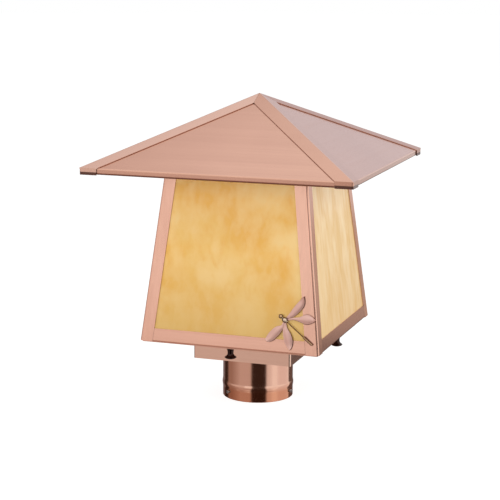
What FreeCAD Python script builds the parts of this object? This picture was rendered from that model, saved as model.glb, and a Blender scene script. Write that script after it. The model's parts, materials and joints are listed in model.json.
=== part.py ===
# Outdoor post light: a hipped copper roof on a tapered lantern glazed with art glass. The lantern stands
# on a base plate and a square wiring box, and a round collar under the box slips over a 3 inch post.
# Sizes are in millimetres. +Z is up, the front faces -Y, and the origin is on the lantern's axis at the
# collar's foot. The lantern and its roof lift off the base once the four thumb nuts are undone.
import FreeCAD, Part
import math
import os

V = FreeCAD.Vector
UP = V(0, 0, 1)

# Collar that slips over the post
collar_bore_radius = 39.7
collar_wall = 1.2
collar_height = 52.1
bead_middle_height = 15.6
bead_half_width = 2.9
bead_rise = 1.4

# Screws that clamp the post
set_screw_radius = 1.8
set_screw_length = 3.4
set_screw_height = 8.2
set_screw_play = 0.06
set_screw_setback = 0.2
set_screw_slot_width = 0.7
set_screw_slot_depth = 0.7
set_screw_count = 3
set_screw_bearing = -37.0

# Square wiring box under the base plate
box_width = 116.4
box_height = 26.4
box_sheet = 1.1
box_corner_radius = 2.2
box_top_flange = 11.0
post_stop = 4.0

# Base plate that carries the lantern
plate_inset = 2.5
plate_sheet = 1.2
weep_hole_radius = 2.5
weep_hole_share = 0.70

# Rivets between the base plate and the box's flange
rivet_radius = 1.6
rivet_head_radius = 3.0
rivet_head_height = 1.0

# Grounding screw in the box's flange
ground_screw_radius = 2.0
ground_screw_head_radius = 4.0
ground_screw_head_height = 2.6
ground_screw_reach = 7.0
ground_screw_share = 0.5

# Tapered lantern body of folded sheet
body_foot_width = 209.8
body_taper_deg = 6.57
body_sheet = 0.9
body_fold_radius = 0.7
body_seat_gap = 0.1
stile_width = 15.0
rail_height = 15.0
rail_foot_flange = 18.0
rail_roof_flange = 10.0
corner_reveal = 2.1
post_lap = 6.0
seam_gap = 0.2
solder_film = 0.1

# Art glass panes and the clips that hold them
glass_thickness = 3.0
glass_play = 0.15
glass_foot_gap = 0.4
front_glass_lap = 5.0
side_glass_lap = 8.0
glass_top_lap = 6.0
clip_sheet = 0.8
clip_fold_radius = 0.4
clip_width = 10.0
clip_foot = 6.5
clip_rise = 12.0
clip_spread_share = 0.5

# Hipped roof of four folded panels
roof_width = 304.8
roof_rise = 73.0
eave_height = 278.8
roof_sheet = 0.9
roof_fold_radius = 0.7
eave_lip = 6.5
eave_hem = 8.0
hip_gap = 0.3
roof_film = 0.15

# Angle caps soldered over the hips
cap_leg = 14.8
cap_sheet = 0.9
cap_fold_radius = 1.6
cap_film = 0.15
cap_tab = 7.0
cap_mitre_gap = 0.1

# Studs of the lantern and the thumb nuts that hold them
stud_radius = 2.05
stud_inset = 9.6
stud_reach = 9.0
stud_head_radius = 3.4
stud_head_height = 1.4
stud_hole_play = 0.35
nut_seat_gap = 0.1
nut_height = 13.0
nut_shoulder_radius = 4.2
nut_shoulder_height = 1.8
nut_waist_radius = 3.3
nut_waist_height = 6.2
nut_rim_radius = 6.6
nut_rim_height = 1.0
nut_dome = 1.6
nut_flare_share = 0.3
nut_play = 0.07
nut_bore_spare = 1.0

# Lampholder on a threaded nipple through the base plate
nipple_radius = 4.9
nipple_bore_radius = 3.3
nipple_below = 8.0
nipple_above = 2.5
nipple_play = 0.05
locknut_flats = 14.0
locknut_height = 3.0
hexagon_sides = 6
holder_cap_radius = 17.5
holder_cap_height = 14.0
holder_cap_wall = 1.2
holder_cap_floor = 2.0
holder_body_radius = 19.5
holder_body_height = 38.0
holder_body_floor = 6.0
holder_body_bore = 14.6
holder_spigot_height = 5.0
holder_fit = 0.1
holder_rim_radius = 1.5
shell_wall = 0.5
shell_radius = 14.2
shell_height = 25.0
shell_flange = 4.0
shell_floor_gap = 0.6
contact_width = 5.0
contact_sheet = 0.6
contact_foot = 8.0
contact_rise = 3.6
contact_tongue = 7.0
terminal_screw_radius = 1.5
terminal_head_radius = 3.6
terminal_head_height = 1.8
terminal_reach = 3.0

# Lamp
lamp_cap_radius = 13.1
lamp_cap_height = 21.0
lamp_cap_wall = 0.5
lamp_cap_taper = 3.0
lamp_insulator_height = 3.4
lamp_tip_radius = 4.4
lamp_tip_height = 1.4
lamp_globe_radius = 30.0
lamp_globe_wall = 1.0
lamp_neck_radius = 13.9
lamp_neck_height = 4.0
lamp_shoulder_height = 46.0
lamp_join_deg = 32.0
lamp_curve_share = 0.33
lamp_seat_gap = 0.5

# Dragonfly ornament soldered to the front frame
insect_inset = 39.8
insect_up = 37.0
insect_heading_deg = -38.0
wing_sheet = 0.8
wing_film = 0.15
wing_root_width = 2.4
fore_wing_length = 33.0
fore_wing_width = 8.6
fore_wing_deg = 91.0
hind_wing_length = 34.0
hind_wing_width = 11.0
hind_wing_deg = 41.0
wing_root_offset = 1.6
wing_belly_shares = (0.32, 0.48, 0.76, 1.56)
body_wire_radius = 0.75
body_wire_tail = 41.0
body_wire_head = 8.6
bead_play = 0.02
thorax_radius = 2.9
thorax_length = 7.0
head_radius = 2.5
head_length = 4.6
head_gap = 0.1
tail_bead_radius = 1.4
tail_bead_length = 13.0

# Length that cutting shapes and uncut blanks run past the finished piece
overrun = 60.0

quarter_turn = 90.0
full_turn = 360.0
roof_half = roof_width / 2
roof_pitch = math.atan2(roof_rise, roof_half)
apex_height = eave_height + roof_rise
taper = math.radians(body_taper_deg)
plate_foot = collar_height + box_height
plate_top = plate_foot + plate_sheet
body_foot = plate_top + body_seat_gap
body_half = body_foot_width / 2
plate_width = body_foot_width - 2 * plate_inset
stud_run = body_half - stud_inset
insect_along = body_half - insect_inset
holder_foot = plate_top + locknut_height
holder_body_foot = holder_foot + holder_cap_height - holder_spigot_height
holder_floor = holder_body_foot + holder_body_floor + holder_spigot_height
holder_top = holder_body_foot + holder_body_height
shell_foot = holder_floor + shell_floor_gap
lamp_tip_foot = holder_floor + contact_rise
lamp_insulator_foot = lamp_tip_foot + lamp_tip_height
lamp_cap_foot = lamp_insulator_foot + lamp_insulator_height
lamp_neck_foot = lamp_cap_foot + lamp_cap_height

SIDES = ("front", "right", "back", "left")
CORNERS = ("front_right", "back_right", "back_left", "front_left")


def turned(shape, quarters):
    """A copy of shape turned by quarter turns about the axis, from the front towards the right."""
    copy = shape.copy()
    copy.rotate(V(0, 0, 0), UP, quarter_turn * quarters)
    return copy


def rounded(points, radius):
    """The edges of a line through points, with each corner rounded."""
    edges = []
    start = points[0]
    for before, corner, after in zip(points, points[1:], points[2:]):
        way_in = (corner - before).normalize()
        way_out = (after - corner).normalize()
        half_turn = way_in.getAngle(way_out) / 2
        set_back = radius * math.tan(half_turn)
        arc_start = corner - way_in * set_back
        arc_end = corner + way_out * set_back
        middle = corner + (way_out - way_in).normalize() * (radius / math.cos(half_turn) - radius)
        edges.append(Part.makeLine(start, arc_start))
        edges.append(Part.Arc(arc_start, middle, arc_end).toShape())
        start = arc_end
    edges.append(Part.makeLine(start, points[-1]))
    return edges


def folded_sheet(line, sheet, fold_radius, run):
    """A sheet whose outer face follows line. It lies on the side that line turns to, and is run long."""
    across = V(run).normalize()
    ways = [(after - before).normalize() for before, after in zip(line, line[1:])]
    side = 1 if ways[0].cross(ways[1]).dot(across) > 0 else -1
    inward = [across.cross(way) * side for way in ways]
    inner = [line[0] + inward[0] * sheet]
    for before, after, corner in zip(inward, inward[1:], line[1:]):
        inner.append(corner + (before + after) * (sheet / (1 + before.dot(after))))
    inner.append(line[-1] + inward[-1] * sheet)
    edges = rounded(line, fold_radius + sheet) + rounded(inner, fold_radius)
    edges.append(Part.makeLine(line[0], inner[0]))
    edges.append(Part.makeLine(line[-1], inner[-1]))
    return Part.Face(Part.Wire(Part.__sortEdges__(edges))).extrude(run)


def slab(points, run):
    """A flat outline of straight edges, made run thick."""
    return Part.Face(Part.makePolygon(list(points) + [points[0]])).extrude(run)


def turned_profile(edges):
    """A closed profile in the XZ plane, turned about the lantern's axis."""
    return Part.Face(Part.Wire(Part.__sortEdges__(edges))).revolve(V(0, 0, 0), UP, full_turn)


def profile_lines(points):
    """Straight edges through (radius, height) points, without closing them."""
    corners = [V(radius, 0, height) for radius, height in points]
    return [Part.makeLine(before, after) for before, after in zip(corners, corners[1:])]


def ring(outer_radius, inner_radius, foot, top):
    """A plain round tube about the lantern's axis."""
    points = ((inner_radius, foot), (outer_radius, foot), (outer_radius, top), (inner_radius, top))
    return turned_profile(profile_lines(points + points[:1]))


def rod(radius, foot, top, along=0.0, across=0.0):
    """An upright round rod at (along, across)."""
    return Part.makeCylinder(radius, top - foot, V(along, across, foot))


def hipped_block(peak, foot):
    """A solid pyramid at the roof's pitch, from its peak down to foot."""
    reach = (peak - foot) / math.tan(roof_pitch)
    gable = [V(-reach, -reach, foot), V(0, -reach, peak), V(reach, -reach, foot)]
    along_y = slab(gable, V(0, 2 * reach, 0))
    return along_y.common(turned(along_y, 1))


def front_wedge(gap):
    """The upright wedge in front of the axis, between the two diagonals, less a gap along each."""
    reach = roof_half + overrun
    tip = gap * math.sqrt(2)
    outline = [V(0, -tip, 0), V(-reach, -reach - tip, 0), V(reach, -reach - tip, 0)]
    return slab(outline, V(0, 0, apex_height + overrun))


def crossing(point_a, way_a, point_b, way_b):
    """Where two lines in the YZ plane cross."""
    turn = way_a.y * way_b.z - way_a.z * way_b.y
    gap = point_b - point_a
    return point_a + way_a * ((gap.y * way_b.z - gap.z * way_b.y) / turn)


# The front face of the lantern has its own frame: along is to the right, rise goes up the leaning face,
# and out stands square to it, from zero at the frame's outer face.
FACE_RISE = V(0, math.sin(taper), math.cos(taper))
FACE_OUT = V(0, -math.cos(taper), math.sin(taper))
ROOF_RISE = V(0, math.cos(roof_pitch), math.sin(roof_pitch))
ROOF_OUT = V(0, -math.sin(roof_pitch), math.cos(roof_pitch))
CORNER_RISE = V(-math.tan(taper), math.tan(taper), 1).normalize()


def on_face(along, rise, out=0.0):
    """A point given in the front face's own frame."""
    return V(along, -body_half, body_foot) + FACE_RISE * rise + FACE_OUT * out


def half_width(rise, inset):
    """Half the face's width at a rise, less an inset measured square to the corner's edge."""
    return body_half - rise * math.sin(taper) - inset * math.sqrt(1 + math.sin(taper) ** 2)


def face_plate(inset, foot, top, outer, thickness):
    """A plate that tapers with the front face, inset from both corners."""
    corners = ((-1, foot), (1, foot), (1, top), (-1, top))
    outline = [on_face(side * half_width(rise, inset), rise, outer) for side, rise in corners]
    return slab(outline, FACE_OUT * -thickness)


FACE_TOP = crossing(
    V(0, -body_half, body_foot), FACE_RISE,
    V(0, 0, apex_height) - ROOF_OUT * (roof_sheet + roof_film), ROOF_RISE)
face_rise = (FACE_TOP - on_face(0, 0)).dot(FACE_RISE)


def under_roof():
    """All the room above the lantern's foot and under the roof's sheet."""
    peak = apex_height - (roof_sheet + roof_film) / math.cos(roof_pitch)
    return hipped_block(peak, body_foot)


def trimmed_rail(blank, inset):
    """A rail's blank cut between the stiles, with its flange mitred on the diagonals."""
    between = face_plate(inset, -overrun, face_rise + overrun, overrun, 2 * overrun)
    return blank.common(between).common(front_wedge(seam_gap))


def bottom_rail(inset):
    """Rail along the foot of a face, with a flange folded in under the glass and a hole for its stud."""
    start = V(-body_half, 0, 0)
    line = [start + on_face(0, rail_height), start + on_face(0, 0),
            start + on_face(0, 0) + V(0, rail_foot_flange, 0)]
    blank = folded_sheet(line, body_sheet, body_fold_radius, V(body_foot_width, 0, 0))
    hole = rod(stud_radius + stud_hole_play, 0, body_foot + rail_height, 0, -stud_run)
    return trimmed_rail(blank, inset).cut(hole)


def top_rail(inset):
    """Rail along the head of a face, with a flange folded in against the roof's underside."""
    start = V(-body_half, 0, 0)
    line = [start + on_face(0, face_rise - rail_height), start + FACE_TOP,
            start + FACE_TOP + ROOF_RISE * rail_roof_flange]
    blank = folded_sheet(line, body_sheet, body_fold_radius, V(body_foot_width, 0, 0))
    return trimmed_rail(blank, inset)


def front_stile(side):
    """Flat strip up one side of the front face, lapped over the corner post's front leg."""
    edges = ((corner_reveal, -overrun), (stile_width, -overrun),
             (stile_width, face_rise + overrun), (corner_reveal, face_rise + overrun))
    outline = [on_face(side * half_width(rise, inset), rise) for inset, rise in edges]
    return slab(outline, FACE_OUT * -body_sheet).common(under_roof())


def corner_post():
    """Angle folded round the front right corner, with its front leg behind the stile."""
    set_back = (body_sheet + solder_film) / math.cos(taper)
    foot = V(body_half, -body_half + set_back, body_foot)
    right_out = V(math.cos(taper), 0, math.sin(taper))
    side_way = CORNER_RISE.cross(right_out)
    front_way = FACE_OUT.cross(CORNER_RISE)
    side_leg = stile_width - set_back * side_way.y
    line = [foot + side_way * side_leg, foot, foot + front_way * (corner_reveal + post_lap)]
    below = CORNER_RISE * overrun
    blank = folded_sheet(
        [point - below for point in line], body_sheet, body_fold_radius,
        CORNER_RISE * (face_rise + 2 * overrun))
    return blank.common(under_roof())


def glass_pane(lap):
    """Pane behind the frame of the front face, standing on the bottom rail's flange."""
    outer = -(body_sheet + glass_play)
    foot = (body_sheet + glass_foot_gap) / math.cos(taper) + glass_thickness * math.tan(taper)
    top = face_rise - rail_height + glass_top_lap
    return face_plate(stile_width - lap, foot, top, outer, glass_thickness)


def glass_clips():
    """Four spring clips that hold a pane from inside: two on the bottom rail and two on the top rail."""
    inner = -(body_sheet + glass_thickness + 2 * glass_play)
    pane_back = on_face(0, 0, inner)
    flange = body_sheet + solder_film
    foot_corner = crossing(pane_back, FACE_RISE, on_face(0, 0) + UP * flange, V(0, 1, 0))
    head_corner = crossing(pane_back, FACE_RISE, FACE_TOP - ROOF_OUT * flange, ROOF_RISE)
    lines = ((foot_corner + V(0, clip_foot, 0), foot_corner, foot_corner + FACE_RISE * clip_rise),
             (head_corner + ROOF_RISE * clip_foot, head_corner, head_corner - FACE_RISE * clip_rise))
    clips = []
    for line in lines:
        for side in (-1, 1):
            middle = side * clip_spread_share * half_width(face_rise, stile_width)
            start = V(middle - clip_width / 2, 0, 0)
            clips.append(folded_sheet(
                [start + point for point in line], clip_sheet, clip_fold_radius, V(clip_width, 0, 0)))
    return clips


def roof_panel():
    """Front panel of the roof: a triangle with its eave folded down and hemmed in."""
    peak = V(-roof_half, 0, apex_height)
    eave = V(-roof_half, -roof_half, eave_height)
    lip = eave - UP * eave_lip
    line = [peak, eave, lip, lip + V(0, eave_hem, 0)]
    blank = folded_sheet(line, roof_sheet, roof_fold_radius, V(roof_width, 0, 0))
    return blank.common(front_wedge(hip_gap))


def hip_cap():
    """Angle over the front right hip, mitred at the peak, with a tab folded down over the eave's corner."""
    lift = cap_film + cap_sheet
    peak = V(0, 0, apex_height + lift / math.cos(roof_pitch))
    hip_way = V(1, -1, -math.tan(roof_pitch)).normalize()
    side_out = V(math.sin(roof_pitch), 0, math.cos(roof_pitch))
    front_way = hip_way.cross(ROOF_OUT)
    side_way = hip_way.cross(side_out) * -1
    start = peak - hip_way * overrun
    line = [start + front_way * cap_leg, start, start + side_way * cap_leg]
    hip_length = (V(roof_half, -roof_half, -roof_rise)).Length
    strip = folded_sheet(line, cap_sheet, cap_fold_radius, hip_way * (hip_length + 2 * overrun))
    reach = roof_half + lift
    eave = peak.z - reach * math.tan(roof_pitch)
    room = Part.makeBox(reach, reach, apex_height + overrun, V(0, -reach, 0))
    mitre = Part.makeBox(reach, reach, apex_height + overrun, V(cap_mitre_gap, -reach - cap_mitre_gap, 0))
    strip = strip.common(room).common(mitre)
    tab_leg = (front_way * cap_leg - hip_way * (front_way.y * cap_leg / hip_way.y)).Length
    foot = eave_height - cap_tab
    corner = V(reach, -reach, foot)
    tab_line = [corner - V(tab_leg, 0, 0), corner, corner + V(0, tab_leg, 0)]
    tab = folded_sheet(tab_line, cap_sheet, body_fold_radius, UP * (eave - foot))
    tab = tab.common(hipped_block(peak.z, 0))
    return strip.fuse(tab).removeSplitter()


def post_collar():
    """Spun collar with a rolled bead, soldered at its head to the underside of the box."""
    edges = []
    outer_radius = collar_bore_radius + collar_wall
    for radius in (collar_bore_radius, outer_radius):
        bead_foot = V(radius, 0, bead_middle_height - bead_half_width)
        bead_top = V(radius, 0, bead_middle_height + bead_half_width)
        edges.append(Part.Arc(bead_foot, V(radius + bead_rise, 0, bead_middle_height), bead_top).toShape())
        edges.append(Part.makeLine(V(radius, 0, 0), bead_foot))
        edges.append(Part.makeLine(bead_top, V(radius, 0, collar_height)))
    for height in (0, collar_height):
        edges.append(Part.makeLine(V(collar_bore_radius, 0, height), V(outer_radius, 0, height)))
    collar = turned_profile(edges)
    for number in range(set_screw_count):
        hole_radius = set_screw_radius + set_screw_play
        collar = collar.cut(set_screw_bar(number, hole_radius, 0, outer_radius + overrun))
    return collar


def set_screw_way(number):
    """The direction, out from the axis, of one of the post screws."""
    bearing = math.radians(set_screw_bearing + full_turn * number / set_screw_count)
    return V(math.sin(bearing), -math.cos(bearing), 0)


def set_screw_bar(number, radius, start, length):
    """A round bar that starts that far from the axis and points outwards where a post screw goes."""
    way = set_screw_way(number)
    return Part.makeCylinder(radius, length, way * start + UP * set_screw_height, way)


def set_screw(number):
    """Headless screw through the collar's wall, slotted across its outer end."""
    way = set_screw_way(number)
    across = way.cross(UP)
    start = collar_bore_radius + set_screw_setback
    end = way * (start + set_screw_length) + UP * set_screw_height
    corner = end - way * set_screw_slot_depth - across * set_screw_radius - UP * (set_screw_slot_width / 2)
    outline = [corner, corner + across * (2 * set_screw_radius),
               corner + across * (2 * set_screw_radius) + UP * set_screw_slot_width,
               corner + UP * set_screw_slot_width]
    slot = slab(outline, way * (set_screw_slot_depth * 2))
    return set_screw_bar(number, set_screw_radius, start, set_screw_length).cut(slot)


def rounded_square(width, radius, foot, height):
    """An upright square block with its upright edges rounded."""
    block = Part.makeBox(width, width, height, V(-width / 2, -width / 2, foot))
    upright = [edge for edge in block.Edges if edge.BoundBox.ZLength > height / 2]
    return block.makeFillet(radius, upright)


def rivet_spots():
    """Places of the rivets: the middle of each box side, on its flange."""
    run = box_width / 2 - box_sheet - box_top_flange / 2
    return [V(0, -run, 0), V(run, 0, 0), V(0, run, 0), V(-run, 0, 0)]


def ground_screw_spot():
    """Place of the grounding screw, on the box's right flange."""
    run = box_width / 2 - box_sheet - box_top_flange / 2
    return V(run, run * ground_screw_share, 0)


def base_box():
    """Folded box, flanged in at its head and riveted there to the plate. Its floor stops the post."""
    inner_width = box_width - 2 * box_sheet
    box = rounded_square(box_width, box_corner_radius, collar_height, box_height)
    room = rounded_square(inner_width, box_corner_radius - box_sheet, collar_height + box_sheet,
                          box_height - 2 * box_sheet)
    mouth = inner_width - 2 * box_top_flange
    mouth_cut = Part.makeBox(mouth, mouth, box_height, V(-mouth / 2, -mouth / 2, plate_foot - box_sheet))
    box = box.cut(room).cut(mouth_cut)
    box = box.cut(rod(collar_bore_radius - post_stop, collar_height, collar_height + box_sheet))
    for spot in rivet_spots():
        box = box.cut(rod(rivet_radius, collar_height + box_sheet, plate_foot, spot.x, spot.y))
    screw = ground_screw_spot()
    return box.cut(rod(ground_screw_radius, collar_height + box_sheet, plate_foot, screw.x, screw.y))


def base_plate():
    """Square plate under the lantern, drilled for the studs, the nipple, the rivets and the rain."""
    half = plate_width / 2
    plate = Part.makeBox(plate_width, plate_width, plate_sheet, V(-half, -half, plate_foot))
    holes = [rod(nipple_radius + nipple_play, plate_foot, plate_top)]
    weep_run = half * weep_hole_share
    stud_hole = rod(stud_radius + stud_hole_play, plate_foot, plate_top, 0, -stud_run)
    weep_hole = rod(weep_hole_radius, plate_foot, plate_top, weep_run, -weep_run)
    for quarters in range(len(SIDES)):
        holes += [turned(stud_hole, quarters), turned(weep_hole, quarters)]
    for spot in rivet_spots():
        holes.append(rod(rivet_radius, plate_foot, plate_top, spot.x, spot.y))
    screw = ground_screw_spot()
    holes.append(rod(ground_screw_radius, plate_foot, plate_top, screw.x, screw.y))
    for hole in holes:
        plate = plate.cut(hole)
    return plate


def plate_rivets():
    """Rivets through the plate and the box's flange, with a flat head on each side."""
    rivets = []
    flange_foot = plate_foot - box_sheet
    for spot in rivet_spots():
        shank = rod(rivet_radius, flange_foot, plate_top, spot.x, spot.y)
        upper = rod(rivet_head_radius, plate_top, plate_top + rivet_head_height, spot.x, spot.y)
        lower = rod(rivet_head_radius, flange_foot - rivet_head_height, flange_foot, spot.x, spot.y)
        rivets.append(shank.fuse(upper).fuse(lower).removeSplitter())
    return rivets


def ground_screw():
    """Hexagon-headed grounding screw driven up through the box's flange and the plate."""
    spot = ground_screw_spot()
    flange_foot = plate_foot - box_sheet
    shank = rod(ground_screw_radius, flange_foot, flange_foot + ground_screw_reach, spot.x, spot.y)
    head_foot = flange_foot - ground_screw_head_height
    head = hexagon(ground_screw_head_radius, head_foot, ground_screw_head_height, spot)
    return shank.fuse(head).removeSplitter()


def hexagon(flat_radius, foot, height, spot=V(0, 0, 0)):
    """An upright hexagonal block, given half its width across flats."""
    corner_radius = flat_radius / math.cos(math.pi / hexagon_sides)
    angles = [2 * math.pi * number / hexagon_sides for number in range(hexagon_sides)]
    outline = [V(corner_radius * math.cos(a), corner_radius * math.sin(a), foot) + spot for a in angles]
    return slab(outline, UP * height)


def base_stud():
    """Headed stud through the front rail's flange and the plate, threaded for a thumb nut."""
    head_foot = body_foot + body_sheet
    shank = rod(stud_radius, plate_foot - stud_reach, head_foot, 0, -stud_run)
    head = rod(stud_head_radius, head_foot, head_foot + stud_head_height, 0, -stud_run)
    return shank.fuse(head).removeSplitter()


def thumb_nut():
    """Blind thumb nut with a shoulder, a narrow waist, a flared rim and a domed end, under the plate."""
    top = plate_foot - nut_seat_gap
    foot = top - nut_height
    waist = top - nut_waist_height
    shoulder = top - nut_shoulder_height
    rim_foot = foot + nut_dome
    rim_top = rim_foot + nut_rim_height
    bore_radius = stud_radius + nut_play
    bore_foot = plate_foot - stud_reach - nut_bore_spare
    flare_radius = nut_waist_radius + (nut_rim_radius - nut_waist_radius) * nut_flare_share
    flare_middle = V(flare_radius, 0, (waist + rim_top) / 2)
    flare = Part.Arc(V(nut_waist_radius, 0, waist), flare_middle, V(nut_rim_radius, 0, rim_top))
    ball_radius = (nut_rim_radius ** 2 + nut_dome ** 2) / (2 * nut_dome)
    half_way = nut_rim_radius / 2
    dome_middle = V(half_way, 0, foot + ball_radius - math.sqrt(ball_radius ** 2 - half_way ** 2))
    dome = Part.Arc(V(nut_rim_radius, 0, rim_foot), dome_middle, V(0, 0, foot))
    edges = [flare.toShape(), dome.toShape()]
    edges += profile_lines(((nut_rim_radius, rim_top), (nut_rim_radius, rim_foot)))
    edges += profile_lines(((0, foot), (0, bore_foot), (bore_radius, bore_foot), (bore_radius, top),
                            (nut_shoulder_radius, top), (nut_shoulder_radius, shoulder),
                            (nut_waist_radius, waist)))
    nut = turned_profile(edges)
    nut.translate(V(0, -stud_run, 0))
    return nut


def lamp_nipple():
    """Threaded tube that carries the lampholder and lets its leads down into the box."""
    top = holder_foot + holder_cap_floor + nipple_above
    return ring(nipple_radius, nipple_bore_radius, plate_foot - nipple_below, top)


def nipple_locknuts():
    """Hexagonal locknuts above and below the plate."""
    hole = rod(nipple_radius + nipple_play, plate_foot - nipple_below, holder_body_foot)
    feet = (plate_foot - locknut_height, plate_top)
    return [hexagon(locknut_flats / 2, foot, locknut_height).cut(hole) for foot in feet]


def holder_cap():
    """Cup that screws onto the nipple and closes the lampholder's foot."""
    top = holder_foot + holder_cap_height
    outer = ring(holder_cap_radius, nipple_radius + nipple_play, holder_foot, top)
    return outer.cut(rod(holder_cap_radius - holder_cap_wall, holder_foot + holder_cap_floor, top))


def holder_body():
    """Porcelain body with a spigot that sits in the cap, and a well for the screw shell."""
    spigot_radius = holder_cap_radius - holder_cap_wall - holder_fit
    spigot_top = holder_foot + holder_cap_height
    points = ((0, holder_body_foot), (spigot_radius, holder_body_foot), (spigot_radius, spigot_top),
              (holder_body_radius, spigot_top), (holder_body_radius, holder_top),
              (holder_body_bore, holder_top), (holder_body_bore, holder_floor), (0, holder_floor))
    body = turned_profile(profile_lines(points + points[:1]))
    rims = [edge for edge in body.Edges
            if abs(edge.BoundBox.ZMin - holder_top) < holder_fit
            and edge.BoundBox.ZLength < holder_fit
            and edge.BoundBox.XMax > holder_body_bore + holder_fit]
    body = body.makeFillet(holder_rim_radius, rims)
    for side in (-1, 1):
        body = body.cut(terminal_blank(side, terminal_screw_radius, terminal_reach))
    return body


def terminal_blank(side, radius, length):
    """A bar that points out of the lampholder's side, where a terminal screw goes."""
    height = (holder_foot + holder_cap_height + holder_floor) / 2
    way = V(0, side, 0)
    return Part.makeCylinder(radius, length, way * (holder_body_radius - length) + UP * height, way)


def terminal_screws():
    """Pair of binding screws in the lampholder's sides."""
    screws = []
    for side in (-1, 1):
        shank = terminal_blank(side, terminal_screw_radius, terminal_reach)
        height = (holder_foot + holder_cap_height + holder_floor) / 2
        head = Part.makeCylinder(terminal_head_radius, terminal_head_height,
                                 V(0, side * holder_body_radius, height), V(0, side, 0))
        screws.append(shank.fuse(head).removeSplitter())
    return screws


def screw_shell():
    """Brass screw shell in the lampholder's well, turned in at its foot."""
    inner = shell_radius - shell_wall
    points = ((shell_radius, shell_foot), (shell_radius, shell_foot + shell_height),
              (inner, shell_foot + shell_height), (inner, shell_foot + shell_wall),
              (inner - shell_flange, shell_foot + shell_wall), (inner - shell_flange, shell_foot))
    return turned_profile(profile_lines(points + points[:1]))


def center_contact():
    """Springy tongue on the well's floor that rises to meet the lamp's tip."""
    foot = V(contact_foot / 2, -contact_width / 2, holder_floor)
    heel = V(-contact_foot / 2, -contact_width / 2, holder_floor)
    rise = contact_rise - contact_sheet - lamp_seat_gap
    tongue = heel + V(math.sqrt(contact_tongue ** 2 - rise ** 2), 0, rise)
    return folded_sheet([foot, heel, tongue], contact_sheet, contact_sheet / 2, V(0, contact_width, 0))


def lamp_cap():
    """Lamp's screw cap, drawn in at its foot round the insulator."""
    inner = lamp_cap_radius - lamp_cap_wall
    knee = lamp_cap_foot + lamp_cap_taper
    small = lamp_cap_radius - lamp_cap_taper
    points = ((small, lamp_cap_foot), (lamp_cap_radius, knee), (lamp_cap_radius, lamp_neck_foot),
              (inner, lamp_neck_foot), (inner, knee), (small - lamp_cap_wall, lamp_cap_foot))
    return turned_profile(profile_lines(points + points[:1]))


def lamp_insulator():
    """Black glass insulator between the cap and the tip."""
    small = lamp_cap_radius - lamp_cap_taper - lamp_cap_wall
    points = ((0, lamp_insulator_foot), (lamp_tip_radius, lamp_insulator_foot), (small, lamp_cap_foot),
              (0, lamp_cap_foot))
    return turned_profile(profile_lines(points + points[:1]))


def lamp_tip():
    """Lamp's centre contact."""
    return rod(lamp_tip_radius, lamp_tip_foot, lamp_insulator_foot)


def lamp_outline(shrink):
    """Solid of the lamp's glass, shrunk by a wall, from its neck to its crown."""
    neck = lamp_neck_radius - shrink
    globe = lamp_globe_radius - shrink
    middle = lamp_neck_foot + lamp_shoulder_height
    tilt = math.radians(lamp_join_deg)
    side_way = V(math.cos(tilt), 0, -math.sin(tilt))
    fall = V(-math.sin(tilt), 0, -math.cos(tilt))
    join = V(0, 0, middle) + side_way * globe
    crown = V(0, 0, middle + globe)
    waist = V(neck, 0, lamp_neck_foot + lamp_neck_height)
    between = (waist - join).Length * lamp_curve_share
    curve = Part.BezierCurve()
    curve.setPoles([join, join + fall * between, waist + UP * between, waist])
    dome = Part.Arc(crown, V(0, 0, middle) + V(math.cos(tilt), 0, math.sin(tilt)) * globe, join).toShape()
    edges = [dome, curve.toShape()]
    edges += profile_lines(((waist.x, waist.z), (neck, lamp_neck_foot), (0, lamp_neck_foot), (0, crown.z)))
    return turned_profile(edges)


def lamp_glass():
    """Lamp's frosted glass, open at the neck."""
    return lamp_outline(0).cut(lamp_outline(lamp_globe_wall))


def wing(length, width, angle):
    """Leaf-shaped wing cut from sheet, with its tip at an angle from the body's heading."""
    heading = math.radians(insect_heading_deg + angle)
    near, near_belly, far, far_belly = wing_belly_shares
    rootward = wing_root_width / 2
    outer = wing_film + wing_sheet

    def spot(along, across):
        u = insect_along + along * math.cos(heading) - across * math.sin(heading)
        v = insect_up + along * math.sin(heading) + across * math.cos(heading)
        return on_face(u, v, outer)

    edges = []
    for side in (-1, 1):
        curve = Part.BezierCurve()
        curve.setPoles([spot(wing_root_offset, side * rootward),
                        spot(near * length, side * near_belly * width / 2),
                        spot(far * length, side * far_belly * width / 2),
                        spot(length, 0)])
        edges.append(curve.toShape())
    edges.append(Part.makeLine(spot(wing_root_offset, -rootward), spot(wing_root_offset, rootward)))
    return Part.Face(Part.Wire(Part.__sortEdges__(edges))).extrude(FACE_OUT * -wing_sheet)


def insect_wings():
    """Two pairs of wings, fore and hind."""
    fore = (fore_wing_length, fore_wing_width, fore_wing_deg)
    hind = (hind_wing_length, hind_wing_width, hind_wing_deg)
    return [wing(length, width, side * angle) for length, width, angle in (fore, hind) for side in (-1, 1)]


def insect_way():
    """Direction of the dragonfly's tail on the face."""
    heading = math.radians(insect_heading_deg)
    return V(1, 0, 0) * math.cos(heading) + FACE_RISE * math.sin(heading)


def insect_point(along):
    """A point on the body's wire, that far towards the tail from the thorax's middle."""
    wire_out = wing_film + wing_sheet + wing_film + body_wire_radius
    return on_face(insect_along, insect_up, wire_out) + insect_way() * along


def insect_wire():
    """Wire that runs from the head to the tail."""
    start = insect_point(-body_wire_head)
    return Part.makeCylinder(body_wire_radius, body_wire_head + body_wire_tail, start, insect_way())


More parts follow.
